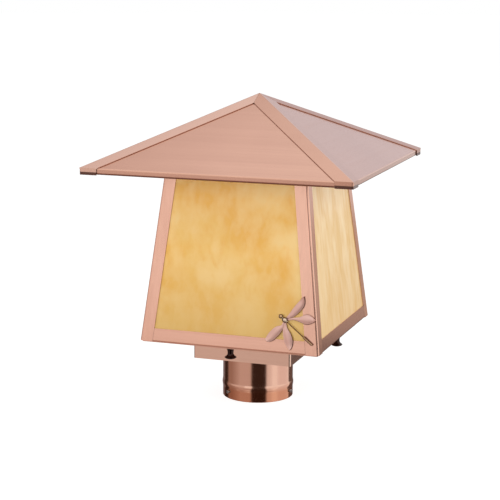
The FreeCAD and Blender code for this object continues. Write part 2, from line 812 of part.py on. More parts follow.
def bead(length, radius, middle):
    """Oval bead threaded on the wire, flattened where it would meet the wings."""
    way = insect_way()
    centre = insect_point(middle)
    hole = body_wire_radius + bead_play
    ends = [centre + way * (side * length / 2) + FACE_OUT * hole for side in (-1, 1)]
    edges = [Part.Arc(ends[0], centre + FACE_OUT * radius, ends[1]).toShape()]
    edges.append(Part.makeLine(ends[0], ends[1]))
    oval = Part.Face(Part.Wire(edges)).revolve(centre, way, full_turn)
    cutter = face_plate(0, 0, face_rise, wing_film + wing_sheet + wing_film, overrun)
    return oval.cut(cutter)


def insect_beads():
    """Thorax, head and tail beads."""
    head_middle = -(thorax_length / 2 + head_gap + head_length / 2)
    tail_middle = body_wire_tail - tail_bead_length / 2
    return [bead(thorax_length, thorax_radius, 0),
            bead(head_length, head_radius, head_middle),
            bead(tail_bead_length, tail_bead_radius, tail_middle)]


def save(name, *shapes):
    """Writes one node, as one solid or a group of separate solids."""
    solids = [solid for shape in shapes for solid in shape.Solids]
    whole = solids[0] if len(solids) == 1 else Part.makeCompound(solids)
    if not whole.isValid():
        print("not valid:", name)
    whole.exportStep(os.path.join("parts", name + ".step"))
    print(name, len(solids), "solids", round(sum(solid.Volume for solid in solids)), "mm3")


def save_base():
    """Everything that stays on the post."""
    save("post_collar", post_collar())
    for number, place in enumerate(("left", "right", "back")):
        save("set_screw_" + place, set_screw(number))
    save("base_box", base_box())
    save("base_plate", base_plate())
    save("plate_rivets", *plate_rivets())
    save("ground_screw", ground_screw())
    for quarters, side in enumerate(SIDES):
        save("thumb_nut_" + side, turned(thumb_nut(), quarters))
    save("lamp_nipple", lamp_nipple())
    save("nipple_locknuts", *nipple_locknuts())
    save("holder_cap", holder_cap())
    save("holder_body", holder_body())
    save("terminal_screws", *terminal_screws())
    save("screw_shell", screw_shell())
    save("center_contact", center_contact())
    save("lamp_glass", lamp_glass())
    save("lamp_cap", lamp_cap())
    save("lamp_insulator", lamp_insulator())
    save("lamp_tip", lamp_tip())


def save_lantern():
    """The glazed body that lifts off with the roof."""
    inset = stile_width + seam_gap
    for quarters, side in enumerate(SIDES):
        save("bottom_rail_" + side, turned(bottom_rail(inset), quarters))
        save("top_rail_" + side, turned(top_rail(inset), quarters))
        lap = front_glass_lap if side in ("front", "back") else side_glass_lap
        save("glass_" + side, turned(glass_pane(lap), quarters))
    for quarters, side in ((0, "front"), (2, "back")):
        save("stile_" + side + "_right", turned(front_stile(1 if quarters == 0 else -1), quarters))
        save("stile_" + side + "_left", turned(front_stile(-1 if quarters == 0 else 1), quarters))
    post = corner_post()
    mirrored = post.mirror(V(0, 0, 0), V(1, 0, 0))
    save("corner_post_front_right", post)
    save("corner_post_front_left", mirrored)
    save("corner_post_back_left", turned(post, 2))
    save("corner_post_back_right", turned(mirrored, 2))
    turns = range(len(SIDES))
    save("glass_clips", *[turned(clip, quarters) for quarters in turns for clip in glass_clips()])
    save("base_studs", *[turned(base_stud(), quarters) for quarters in turns])


def save_ornament():
    """The dragonfly on the front frame's lower right corner."""
    save("dragonfly_wings", *insect_wings())
    save("dragonfly_wire", insect_wire())
    save("dragonfly_beads", *insect_beads())


def save_roof():
    """Panels and hip caps of the roof."""
    for quarters, side in enumerate(SIDES):
        save("roof_panel_" + side, turned(roof_panel(), quarters))
    for quarters, corner in enumerate(CORNERS):
        save("hip_cap_" + corner, turned(hip_cap(), quarters))


os.makedirs("parts", exist_ok=True)
save_base()
save_lantern()
save_ornament()
save_roof()
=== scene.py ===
"""Outdoor post light: finishes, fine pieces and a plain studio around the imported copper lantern.

Everything is in the frame of the solids: +Z is up, the front faces -Y, and the origin is on the
lantern's axis at the collar's foot. Sizes of the light's pieces are written in millimetres and turned
into metres by MM. The studio is in metres.
"""

import json
import logging
import math
from collections.abc import Callable
from dataclasses import dataclass
from enum import Enum

import bmesh
import bpy
from bpy.types import Material, Node, NodeOutputs, NodeSocket, NodeTree, Object
from mathutils import Matrix, Vector

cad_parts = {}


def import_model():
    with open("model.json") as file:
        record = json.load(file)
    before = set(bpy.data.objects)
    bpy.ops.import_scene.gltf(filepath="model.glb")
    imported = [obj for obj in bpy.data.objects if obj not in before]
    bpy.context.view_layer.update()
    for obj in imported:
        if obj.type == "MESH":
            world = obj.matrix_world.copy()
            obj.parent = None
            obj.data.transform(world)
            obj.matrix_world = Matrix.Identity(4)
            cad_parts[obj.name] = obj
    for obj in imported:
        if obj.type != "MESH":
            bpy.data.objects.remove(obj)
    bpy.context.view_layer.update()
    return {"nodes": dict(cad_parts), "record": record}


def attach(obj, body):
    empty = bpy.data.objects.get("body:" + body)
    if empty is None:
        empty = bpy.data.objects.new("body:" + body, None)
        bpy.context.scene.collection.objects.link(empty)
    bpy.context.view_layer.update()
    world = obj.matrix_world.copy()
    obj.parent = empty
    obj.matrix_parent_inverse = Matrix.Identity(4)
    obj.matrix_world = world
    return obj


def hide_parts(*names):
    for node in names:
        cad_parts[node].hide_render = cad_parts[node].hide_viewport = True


LOG = logging.getLogger("post_light")
MM = 0.001
SIDES = ("front", "right", "back", "left")
CORNERS = ("front_right", "back_right", "back_left", "front_left")
QUARTER_TURN = math.pi / 2
FULL_TURN = 2 * math.pi
SMOOTH_DEG = 32.0
SCRATCH_DEPTH = 0.2 * MM
GRAIN_DEPTH = 0.1 * MM
RIPPLE_DEPTH = 2.0 * MM
SEAM_REACH = 2.5 * MM
# Radius, in millimetres, of the ring that closes a turned piece on its axis.
POLE = 0.001
# Sockets of a Mix node that mixes colours.
MIX_FACTOR, MIX_FIRST, MIX_SECOND, MIX_RESULT = 0, 6, 7, 2
Triple = tuple[float, float, float]
Colour = Triple
Pair = tuple[float, float]
Profile = list[Pair]


def turn(degrees: float, axis: str) -> Matrix:
    """A turn about one axis."""
    return Matrix.Rotation(math.radians(degrees), 4, axis)


def standpoint(aim: Triple, azimuth: float, elevation: float, distance: float) -> Matrix:
    """A place at a distance from a point, with its Z away from the point and its X level.

    The angles are in degrees, from the front towards the right and upwards.
    """
    lean = turn(azimuth, "Z") @ turn(90 - elevation, "X")
    return Matrix.Translation(aim) @ lean @ Matrix.Translation((0.0, 0.0, distance))


class Brush(Enum):
    """Which way the sheet was brushed, as noise scales along X, Y and Z."""

    ALONG_X = (3.0, 420.0, 420.0)
    ALONG_Y = (420.0, 3.0, 420.0)
    UPRIGHT = (420.0, 420.0, 3.0)
    LEVEL = (4.0, 4.0, 480.0)
    NONE = (60.0, 60.0, 60.0)


class Graph:
    """A node tree that is built one node at a time."""

    def __init__(self, tree: NodeTree) -> None:
        """Takes a tree and empties it."""
        self.tree = tree
        tree.nodes.clear()

    def add(self, kind: str, values: dict | None = None, **settings: object) -> Node:
        """Adds one node.

        Args:
            kind: The node's type, without its ShaderNode prefix if it has one.
            values: Input name or number to a plain value or to the output socket that feeds it.
            settings: Properties of the node.

        Returns:
            The new node.
        """
        full = kind if kind.startswith("Node") else "ShaderNode" + kind
        node = self.tree.nodes.new(full)
        for name, value in settings.items():
            setattr(node, name, value)
        for key, value in (values or {}).items():
            socket = node.inputs[key]
            if isinstance(value, NodeSocket):
                self.tree.links.new(value, socket)
            elif socket.type == "RGBA" and len(value) == 3:
                socket.default_value = (*value, 1.0)
            else:
                socket.default_value = value
        return node

    def math(self, operation: str, first: object, second: object = 0.0) -> NodeSocket:
        """Adds a Math node and returns its output."""
        return self.add("Math", {0: first, 1: second}, operation=operation).outputs[0]

    def spread(self, value: object, low: float, high: float, start: float = 0.0,
               end: float = 1.0) -> NodeSocket:
        """Adds a clamped Map Range node from low..high to start..end and returns its output."""
        return self.add("MapRange", {0: value, 1: low, 2: high, 3: start, 4: end}).outputs[0]

    def mix(self, factor: object, first: object, second: object) -> NodeSocket:
        """Adds a colour Mix node and returns its colour."""
        values = {MIX_FACTOR: factor, MIX_FIRST: first, MIX_SECOND: second}
        return self.add("Mix", values, data_type="RGBA").outputs[MIX_RESULT]

    def noise(self, place: object, scale: float, detail: float = 3.0, roughness: float = 0.5,
              distortion: float = 0.0) -> NodeSocket:
        """Adds a Noise Texture and returns its value."""
        return self.add("TexNoise", {"Vector": place, "Scale": scale, "Detail": detail,
                                     "Roughness": roughness, "Distortion": distortion}).outputs[0]

    def place(self) -> NodeSocket:
        """The point's place in the light's frame, in metres."""
        return self.add("TexCoord").outputs["Object"]

    def finish(self, shader: Node) -> None:
        """Links a shader to a new output."""
        self.add("OutputMaterial", {"Surface": shader.outputs[0]})


def new_material(name: str) -> tuple[Material, Graph]:
    """Makes a material and returns it with its emptied graph."""
    material = bpy.data.materials.new(name)
    material.use_nodes = True
    return material, Graph(material.node_tree)


class GroupKit:
    """Shader node groups that several finishes share, each built once."""

    value = "NodeSocketFloat"
    vector = "NodeSocketVector"

    def __init__(self) -> None:
        """Builds every group."""
        self.brushing = self._brushing()
        self.clouding = self._clouding()
        self.seam_shade_and_grime = self._seam_shade_and_grime()

    @classmethod
    def _new(cls, name: str, inputs: dict[str, float | None],
             outputs: dict[str, str]) -> tuple[Graph, NodeOutputs]:
        """Makes a group and returns its graph and what its input node gives.

        An input whose default is None is a vector.
        """
        tree = bpy.data.node_groups.new(name, "ShaderNodeTree")
        for title, default in inputs.items():
            kind = cls.vector if default is None else cls.value
            socket = tree.interface.new_socket(title, in_out="INPUT", socket_type=kind)
            if default is not None:
                socket.default_value = default
        for title, kind in outputs.items():
            tree.interface.new_socket(title, in_out="OUTPUT", socket_type=kind)
        graph = Graph(tree)
        return graph, graph.add("NodeGroupInput").outputs

    def _brushing(self) -> NodeTree:
        """Fine scratches that run one way, from coordinates that are already stretched along them."""
        graph, given = self._new("brushing", {"Stretched": None, "Depth": 0.1},
                                 {"Streaks": self.value, "Normal": self.vector})
        fine = graph.noise(given["Stretched"], scale=1.0, detail=4.0, roughness=0.65)
        broad = graph.noise(given["Stretched"], scale=0.22, roughness=0.55)
        streaks = graph.math("MULTIPLY", graph.math("ADD", fine, broad), 0.5)
        bump = graph.add("Bump", {"Strength": given["Depth"], "Distance": SCRATCH_DEPTH,
                                  "Height": streaks})
        graph.add("NodeGroupOutput", {"Streaks": streaks, "Normal": bump.outputs[0]})
        return graph.tree

    def _clouding(self) -> NodeTree:
        """Soft patches, as handling and the first oxide leave."""
        graph, given = self._new("clouding", {"Scale": 9.0}, {"Patches": self.value})
        noise = graph.noise(graph.place(), given["Scale"], detail=5.0, distortion=0.4)
        graph.add("NodeGroupOutput", {"Patches": graph.spread(noise, 0.3, 0.7)})
        return graph.tree

    def _seam_shade_and_grime(self) -> NodeTree:
        """Mask of the seams and inner corners from ambient occlusion: painted shade, with the polish
        residue that stays there.
        """
        graph, given = self._new("seam_shade_and_grime", {"Reach": SEAM_REACH}, {"ShadeAndGrime": self.value})
        light = graph.add("AmbientOcclusion", {"Distance": given["Reach"]}, samples=8).outputs["AO"]
        graph.add("NodeGroupOutput", {"ShadeAndGrime": graph.spread(light, 0.25, 0.85, 1.0, 0.0)})
        return graph.tree


@dataclass(frozen=True)
class CopperFinish:
    """Bare copper sheet, brushed one way, with a clear lacquer where it has a coat."""

    name: str
    tone: Colour
    shade: Colour
    brush: Brush
    roughness: float = 0.22
    streak: float = 0.25
    depth: float = 0.08
    cloud_scale: float = 9.0
    cloud: float = 0.30
    coat: float = 0.0
    coat_roughness: float = 0.25
    # Tone of the seams and inner corners: painted shade, with polish residue.
    shade_and_grime: Colour = (0.16, 0.055, 0.03)
    # Below this height the sheet turns to a darker tone: a painted shade.
    painted_shade_below: float | None = None
    painted_shade_blur: float = 0.3 * MM
    painted_shade_tone: Colour = (0.12, 0.04, 0.022)
    slot: str = "copper"

    def build(self, groups: GroupKit) -> Material:
        """Makes the material."""
        material, graph = new_material(self.name)
        place = graph.place()
        stretched = graph.add("Mapping", {"Vector": place, "Scale": self.brush.value}).outputs[0]
        brushed = graph.add("Group", {"Stretched": stretched, "Depth": self.depth},
                            node_tree=groups.brushing).outputs
        clouded = graph.add("Group", {"Scale": self.cloud_scale}, node_tree=groups.clouding).outputs
        shade_and_grime = graph.add("Group", node_tree=groups.seam_shade_and_grime).outputs["ShadeAndGrime"]
        streaks = graph.spread(brushed["Streaks"], 0.35, 0.65, 0.0, self.streak)
        patches = graph.math("MULTIPLY", clouded["Patches"], self.cloud)
        colour = graph.mix(graph.math("ADD", streaks, patches), self.tone, self.shade)
        # Seams and inner corners turn darker where ambient occlusion finds them: painted shade, with
        # polish residue.
        colour = graph.mix(shade_and_grime, colour, self.shade_and_grime)
        # Below a height the colour turns darker: a painted shade along the eave's lip, under the caps'
        # tabs and round the collar's foot.
        if self.painted_shade_below is not None:
            height = graph.add("SeparateXYZ", {0: place}).outputs["Z"]
            shade_share = graph.spread(height, self.painted_shade_below - self.painted_shade_blur,
                                   self.painted_shade_below + self.painted_shade_blur, 1.0, 0.0)
            colour = graph.mix(shade_share, colour, self.painted_shade_tone)
        rough = graph.spread(brushed["Streaks"], 0.3, 0.7, self.roughness - 0.04, self.roughness + 0.05)
        rough = graph.math("ADD", rough, graph.math("MULTIPLY", shade_and_grime, 0.3))
        graph.finish(graph.add("BsdfPrincipled", {
            "Base Color": colour, "Metallic": 1.0, "Roughness": rough, "Normal": brushed["Normal"],
            "Coat Weight": self.coat, "Coat Roughness": self.coat_roughness}))
        return material


@dataclass(frozen=True)
class PlainFinish:
    """A small part's finish: one tone with soft patches and a fine grain.

    Its slot has the finish's own name where none is given.
    """

    name: str
    tone: Colour
    shade: Colour
    slot: str = ""
    metallic: float = 1.0
    roughness: float = 0.3
    coat: float = 0.0
    grain: float = 0.05
    grain_scale: float = 900.0
    cloud_scale: float = 60.0
    shade_and_grime: Colour | None = None
    rim_shade: Colour | None = None
    rim_shade_range: Pair = (0.12, 0.26)

    def build(self, groups: GroupKit) -> Material:
        """Makes the material."""
        material, graph = new_material(self.name)
        clouded = graph.add("Group", {"Scale": self.cloud_scale}, node_tree=groups.clouding).outputs
        colour = graph.mix(clouded["Patches"], self.tone, self.shade)
        # Seams and recesses turn darker where ambient occlusion finds them: painted shade, with grime.
        if self.shade_and_grime is not None:
            shade_and_grime = graph.add("Group", node_tree=groups.seam_shade_and_grime).outputs["ShadeAndGrime"]
            colour = graph.mix(shade_and_grime, colour, self.shade_and_grime)
        # Faces seen at a slant turn dark: a painted shade round the edge.
        if self.rim_shade is not None:
            facing = graph.add("LayerWeight", {"Blend": 0.5}).outputs["Facing"]
            colour = graph.mix(graph.spread(facing, *self.rim_shade_range), colour, self.rim_shade)
        grain = graph.noise(graph.place(), self.grain_scale, detail=2.0)
        bump = graph.add("Bump", {"Strength": self.grain, "Distance": GRAIN_DEPTH, "Height": grain})
        rough = graph.spread(clouded["Patches"], 0.0, 1.0, self.roughness, self.roughness + 0.1)
        graph.finish(graph.add("BsdfPrincipled", {
            "Base Color": colour, "Metallic": self.metallic, "Roughness": rough, "Coat Weight": self.coat,
            "Normal": bump.outputs[0]}))
        return material


@dataclass(frozen=True)
class ArtGlassFinish:
    """Opalescent sheet glass: soft clouds and streaks of three tones under a gently rippled face."""

    name: str
    deep: Colour
    middle: Colour
    pale: Colour
    cloud_scale: Triple
    streak_scale: Triple
    streak: float
    # A darker tone that the glass turns towards its foot: a painted shade.
    glass_shade: Colour
    glass_shade_share: float
    # The glass glows in its own colour: painted light, standing in for light that passes through the
    # panes.
    glow: float
    glass_shade_foot: float = 95.0 * MM
    glass_shade_head: float = 185.0 * MM
    ripple: float = 0.10
    slot: str = "art_glass"

    def build(self, _groups: GroupKit) -> Material:
        """Makes the material, which needs none of the shared groups."""
        material, graph = new_material(self.name)
        place = graph.place()
        broad = graph.add("Mapping", {"Vector": place, "Scale": self.cloud_scale}).outputs[0]
        narrow = graph.add("Mapping", {"Vector": place, "Scale": self.streak_scale}).outputs[0]
        clouds = graph.noise(broad, scale=1.0, detail=2.0, roughness=0.45, distortion=0.5)
        drifts = graph.noise(broad, scale=2.3, distortion=0.3)
        wisps = graph.noise(narrow, scale=1.0, detail=4.0, roughness=0.55, distortion=0.2)
        colour = graph.mix(graph.spread(clouds, 0.32, 0.62), self.deep, self.middle)
        colour = graph.mix(graph.spread(drifts, 0.42, 0.74), colour, self.pale)
        colour = graph.mix(graph.spread(wisps, 0.45, 0.80, 0.0, self.streak), colour, self.pale)
        colour = graph.mix(graph.spread(wisps, 0.45, 0.20, 0.0, self.streak), colour, self.deep)
        # Towards the foot the colour turns darker: a painted shade.
        height = graph.add("SeparateXYZ", {0: place}).outputs["Z"]
        shade_share = graph.spread(height, self.glass_shade_foot, self.glass_shade_head, self.glass_shade_share, 0.0)
        colour = graph.mix(shade_share, colour, self.glass_shade)
        ripples = graph.noise(broad, scale=3.0, detail=2.0)
        bump = graph.add("Bump", {"Strength": self.ripple, "Distance": RIPPLE_DEPTH, "Height": ripples})
        # The emission in the glass's own colour is painted light, standing in for light passing through.
        graph.finish(graph.add("BsdfPrincipled", {
            "Base Color": colour, "Metallic": 0.0, "Roughness": 0.18, "IOR": 1.5, "Coat Weight": 0.2,
            "Coat Roughness": 0.06, "Normal": bump.outputs[0], "Emission Color": colour,
            "Emission Strength": self.glow}))
        return material


@dataclass(frozen=True)
class Palette:
    """Every finish of the light."""

    strip_tones: tuple[Colour, Colour] = ((0.94, 0.555, 0.42), (0.80, 0.455, 0.34))
    roof_tones: tuple[Colour, Colour] = ((0.785, 0.435, 0.31), (0.65, 0.345, 0.245))
    # Tone of the painted shade along the eave's lip.
    eave_shade_tone: Colour = (0.26, 0.085, 0.045)
    # Dark edge of the beads: a painted shade.
    bead_rim_shade: Colour = (0.06, 0.02, 0.01)
    # Heights below which the sheet is painted darker: painted shade at the eaves, the caps' tabs and the
    # collar's foot.
    eave_line: float = 274.3 * MM
    side_eave_line: float = 273.7 * MM
    tab_line: float = 275.1 * MM
    bead_line: float = 14.5 * MM

    def finishes(self) -> list[CopperFinish | PlainFinish | ArtGlassFinish]:
        """Every finish, before it is built."""
        roof = {"coat": 1.0, "cloud": 0.4, "painted_shade_tone": self.eave_shade_tone}
        cap = {"brush": Brush.NONE, "streak": 0.15, "painted_shade_below": self.tab_line}
        wing = {"brush": Brush.NONE, "cloud_scale": 60.0, "slot": "wing_copper"}
        bead = {"slot": "bead_brass", "rim_shade": self.bead_rim_shade}
        return [
            CopperFinish("copper_along_x", *self.strip_tones, Brush.ALONG_X),
            CopperFinish("copper_along_y", (0.76, 0.44, 0.345), (0.65, 0.36, 0.28), Brush.ALONG_Y),
            CopperFinish("copper_upright", *self.strip_tones, Brush.UPRIGHT),
            CopperFinish("copper_box", (0.95, 0.66, 0.52), (0.84, 0.55, 0.44), Brush.LEVEL, roughness=0.2),
            CopperFinish("copper_roof_x", *self.roof_tones, Brush.ALONG_X, painted_shade_below=self.eave_line,
                         **roof),
            CopperFinish("copper_roof_y", *self.roof_tones, Brush.ALONG_Y, painted_shade_below=self.side_eave_line,
                         **roof),
            # The near cap and the back caps take darker copies of the caps' copper: painted shade and
            # painted reflection.
            CopperFinish("copper_cap", (0.90, 0.58, 0.455), (0.77, 0.475, 0.37), coat=1.0, **cap),
            CopperFinish("copper_near_cap", (0.73, 0.395, 0.275), (0.62, 0.32, 0.22), coat=1.0, **cap),
            CopperFinish("copper_back_cap", (0.67, 0.39, 0.30), (0.57, 0.325, 0.25), **cap),
            CopperFinish("copper_collar", (0.84, 0.505, 0.38), (0.74, 0.43, 0.315), Brush.LEVEL,
                         roughness=0.13, streak=0.2, depth=0.03, painted_shade_below=self.bead_line,
                         painted_shade_blur=4.0 * MM, painted_shade_tone=(0.69, 0.31, 0.185)),
            CopperFinish("copper_wing", (0.87, 0.555, 0.475), (0.75, 0.445, 0.375), roughness=0.3, **wing),
            # The wings' dark edges: a painted shadow along one side, with solder.
            CopperFinish("wing_edge_shadow", (0.20, 0.075, 0.05), (0.14, 0.05, 0.033), roughness=0.35, **wing),
            PlainFinish("bead_brass", (0.86, 0.60, 0.34), (0.70, 0.42, 0.20), metallic=0.35, roughness=0.2,
                        coat=0.5, **bead),
            # The thorax takes a paler copy of the beads' brass: a painted highlight.
            PlainFinish("thorax_brass_highlight", (0.95, 0.80, 0.66), (0.80, 0.60, 0.42), metallic=0.35,
                        roughness=0.15, coat=0.8, **bead),
            PlainFinish("tail_brass", (0.78, 0.50, 0.31), (0.52, 0.30, 0.16), metallic=0.8, roughness=0.25,
                        **bead),
            PlainFinish("body_wire", (0.19, 0.075, 0.035), (0.12, 0.045, 0.022), "bead_brass"),
            PlainFinish("dark_bronze", (0.035, 0.012, 0.008), (0.02, 0.007, 0.005), roughness=0.22,
                        coat=0.3),
            PlainFinish("zinc_steel", (0.60, 0.60, 0.59), (0.45, 0.45, 0.45), shade_and_grime=(0.05, 0.03, 0.025)),
            PlainFinish("green_screw", (0.08, 0.28, 0.12), (0.05, 0.20, 0.08), roughness=0.35),
            PlainFinish("socket_brass", (0.80, 0.60, 0.28), (0.62, 0.44, 0.18), roughness=0.25),
            PlainFinish("porcelain", (0.86, 0.85, 0.81), (0.80, 0.79, 0.74), metallic=0.0,
                        roughness=0.12, coat=0.5, grain=0.02),
            PlainFinish("frosted_glass", (0.90, 0.90, 0.88), (0.86, 0.86, 0.84), "lamp_glass",
                        metallic=0.0, roughness=0.4, grain=0.1),
            PlainFinish("lamp_metal", (0.72, 0.72, 0.70), (0.60, 0.60, 0.58), roughness=0.25),
            PlainFinish("black_glass", (0.01, 0.01, 0.012), (0.008, 0.008, 0.01), metallic=0.0,
                        roughness=0.1, coat=0.4),
            # Each glass has a painted shade towards its foot and glows as painted light.
            ArtGlassFinish("honey_glass", (0.79, 0.385, 0.04), (0.83, 0.495, 0.115), (0.90, 0.61, 0.235),
                           cloud_scale=(13.0, 13.0, 11.0), streak_scale=(85.0, 85.0, 48.0), streak=0.7,
                           glass_shade=(0.56, 0.34, 0.09), glass_shade_share=0.7, glow=0.20),
            ArtGlassFinish("cream_glass", (0.75, 0.48, 0.18), (0.83, 0.60, 0.30), (0.90, 0.70, 0.42),
                           cloud_scale=(26.0, 26.0, 9.0), streak_scale=(160.0, 160.0, 9.0), streak=0.6,
                           glass_shade=(0.66, 0.40, 0.15), glass_shade_share=0.45, glow=0.395),
        ]


@dataclass(frozen=True)
class Flag:
    """A soft-edged card that only reflections see. Angles are in degrees, from the front to the right."""

    name: str
    azimuth: float
    elevation: float
    half_width: float
    half_height: float
    colour: Colour
    fade: float = 0.12
    fade_up: float = 0.12
    distance: float = 2.4

    def build(self, aim: Triple) -> None:
        """Stands the card up, facing a point of the light."""
        bpy.ops.mesh.primitive_plane_add(size=2.0)
        card = bpy.context.object
        card.name = self.name
        card.matrix_world = standpoint(aim, self.azimuth, self.elevation, self.distance)
        card.scale = [self.distance * math.tan(math.radians(half))
                      for half in (self.half_width, self.half_height)] + [1.0]
        card.data.materials.append(self._material())
        for ray in ("camera", "diffuse", "transmission", "shadow"):
            setattr(card, "visible_" + ray, False)

    def _material(self) -> Material:
        """Makes the card's material, which fades out at its edges."""
        material, graph = new_material(self.name)
        spot = graph.add("SeparateXYZ", {0: graph.place()})
        fades = [graph.spread(graph.math("ABSOLUTE", spot.outputs[axis]), 1.0, 1.0 - fade)
                 for axis, fade in (("X", self.fade), ("Y", self.fade_up))]
        seen = graph.add("Emission", {"Color": self.colour, "Strength": 1.0})
        clear = graph.add("BsdfTransparent")
        graph.finish(graph.add("MixShader", {0: graph.math("MULTIPLY", *fades), 1: clear.outputs[0],
                                             2: seen.outputs[0]}))
        return material


@dataclass(frozen=True)
class SoftLamp:
    """An area lamp that reflections don't see. Its place and size are in metres, its power in watts."""

    name: str
    place: Triple
    size: float
    power: float

    def build(self, aim: Triple) -> None:
        """Hangs the lamp and turns it towards a point."""
        data = bpy.data.lights.new(self.name, "AREA")
        data.size = self.size
        data.energy = self.power
        lamp = bpy.data.objects.new(self.name, data)
        lamp.location = self.place
        lamp.rotation_euler = (Vector(aim) - Vector(self.place)).to_track_quat("-Z", "Y").to_euler()
        lamp.visible_glossy = False
        bpy.context.scene.collection.objects.link(lamp)


@dataclass
class Studio:
    """Plain pale floor, soft light and the camera at the photo's viewpoint, with angles in degrees."""

    azimuth: float = 18.72
    elevation: float = 10.79
    roll: float = 0.33
    distance: float = 1.7724
    aim: Triple = (0.0, 0.0, 0.1738)
    photo_side_px: float = 500.0
    focal_px: float = 1533.4
    centre_px: Pair = (258.7, 247.93)
    sensor: float = 36.0
    floor_radius: float = 12.0
    floor_facets: int = 96
    floor_tone: Colour = (0.36, 0.36, 0.36)
    floor_bounce: Colour = (0.4, 0.4, 0.4)
    floor_glow: float = 0.86
    room_level: float = 0.44

    def build(self) -> None:
        """Sets up the camera, the world, the lamps, the floor and the cards."""
        self._camera()
        self._world()
        for lamp in self._lamps():
            lamp.build(self.aim)
        self._floor()
        for flag in self._flags():
            flag.build(self.aim)
        bpy.context.scene.view_settings.view_transform = "Standard"

    @staticmethod
    def _lamps() -> list[SoftLamp]:
        """One lamp low in front, one high at the left and one at the right."""
        return [
            SoftLamp("low_lamp", (-0.9, -2.6, 0.5), size=1.8, power=37.0),
            SoftLamp("high_lamp", (-1.6, -0.9, 2.4), size=1.6, power=14.0),
            SoftLamp("side_lamp", (2.6, -0.5, 1.2), size=1.8, power=30.0),
        ]

    @staticmethod
    def _flags() -> list[Flag]:
        """Dark and tinted cards round the light and one below it, and three higher ones for the roof."""
        dark = (0.04, 0.023, 0.017)
        return [
            Flag("card_front", 21.6, -22.0, 25.6, 28.0, dark, fade=0.27, distance=0.93),
            Flag("card_back", 169.5, -22.6, 30.5, 16.4, (0.14, 0.102, 0.092), fade_up=0.38),
            Flag("card_left", -108.0, -6.0, 17.0, 34.0, dark, fade=0.5, distance=1.9),
            Flag("card_left_edge", -138.0, -22.0, 31.0, 17.5, (0.22, 0.19, 0.20), fade=0.3, distance=2.6),
            Flag("card_left_veil", -84.0, -22.0, 40.0, 17.5, (0.36, 0.25, 0.21), fade=0.85, distance=2.1),
            Flag("card_front_left", -47.0, -20.4, 50.0, 18.0, (0.60, 0.50, 0.47), fade_up=0.27,
                 distance=2.8),
            Flag("card_left_high", -67.0, 14.0, 44.0, 22.0, (0.72, 0.64, 0.61), fade_up=0.3, distance=3.4),
            Flag("card_front_veil", 50.0, -22.0, 18.0, 17.5, (0.80, 0.77, 0.77), fade=0.6, distance=2.7),
            Flag("card_right_veil", 110.0, -22.0, 27.0, 17.5, (0.86, 0.81, 0.81), fade=0.4, distance=2.9),
            Flag("card_back_veil", 153.5, -1.8, 14.0, 5.6, (0.62, 0.58, 0.58), fade=0.4,
                 fade_up=0.4, distance=1.17),
            Flag("card_side_veil", 153.5, -10.0, 11.5, 9.1, (0.47, 0.39, 0.335), fade=0.3,
                 fade_up=0.25, distance=0.68),
            Flag("card_low", 0.0, -88.0, 55.0, 55.0, (0.40, 0.28, 0.23), fade=0.4, fade_up=0.4),
            Flag("card_roof", -140.0, 34.0, 26.0, 23.4, (0.50, 0.38, 0.37), fade=0.4, fade_up=0.35),
            Flag("card_sky", 182.0, 21.0, 26.0, 13.0, (0.685, 0.655, 0.70), fade=0.3, fade_up=0.3,
                 distance=2.7),
        ]

    def _camera(self) -> None:
        """Places the camera as it stood for the photo."""
        data = bpy.data.cameras.new("photo_camera")
        data.sensor_width = self.sensor
        data.lens = self.focal_px * self.sensor / self.photo_side_px
        data.shift_x = 0.5 - self.centre_px[0] / self.photo_side_px
        data.shift_y = self.centre_px[1] / self.photo_side_px - 0.5
        camera = bpy.data.objects.new("photo_camera", data)
        place = standpoint(self.aim, self.azimuth, self.elevation, self.distance)
        camera.matrix_world = place @ turn(self.roll, "Z")
        bpy.context.scene.collection.objects.link(camera)
        bpy.context.scene.camera = camera

    @staticmethod
    def _shown(graph: Graph) -> NodeSocket:
        """One for camera, glossy and transmission rays, and nought for the rest."""
        path = graph.add("LightPath")
        seen = graph.math("MAXIMUM", path.outputs["Is Camera Ray"], path.outputs["Is Glossy Ray"])
        return graph.math("MAXIMUM", seen, path.outputs["Is Transmission Ray"])

    def _world(self) -> None:
        """White to the eye and in reflections, and a plain level on the light."""
        world = bpy.data.worlds.new("plain_studio")
        bpy.context.scene.world = world
        world.use_nodes = True
        graph = Graph(world.node_tree)
        strength = graph.spread(self._shown(graph), 0.0, 1.0, self.room_level, 1.0)
        background = graph.add("Background", {"Color": (1.0, 1.0, 1.0), "Strength": strength})
        graph.add("OutputWorld", {"Surface": background.outputs[0]})

    def _floor(self) -> None:
        """A pale floor that stays white to the eye, keeps the light's shadow and is clear from below."""
        bpy.ops.mesh.primitive_circle_add(vertices=self.floor_facets, radius=self.floor_radius,
                                          fill_type="NGON")
        floor = bpy.context.object
        floor.name = "studio_floor"
        material, graph = new_material("studio_floor")
        matte = graph.add("BsdfDiffuse", {"Color": self.floor_tone})
        glow = graph.add("Emission", {"Color": (1.0, 1.0, 1.0), "Strength": self.floor_glow})
        seen = graph.add("AddShader", {0: matte.outputs[0], 1: glow.outputs[0]})
        pale = graph.add("BsdfDiffuse", {"Color": self.floor_bounce})
        top = graph.add("MixShader", {0: self._shown(graph), 1: pale.outputs[0], 2: seen.outputs[0]})
        under = graph.add("NewGeometry").outputs["Backfacing"]
        clear = graph.add("BsdfTransparent")
        graph.finish(graph.add("MixShader", {0: under, 1: top.outputs[0], 2: clear.outputs[0]}))
        floor.data.materials.append(material)
        floor.visible_glossy = False


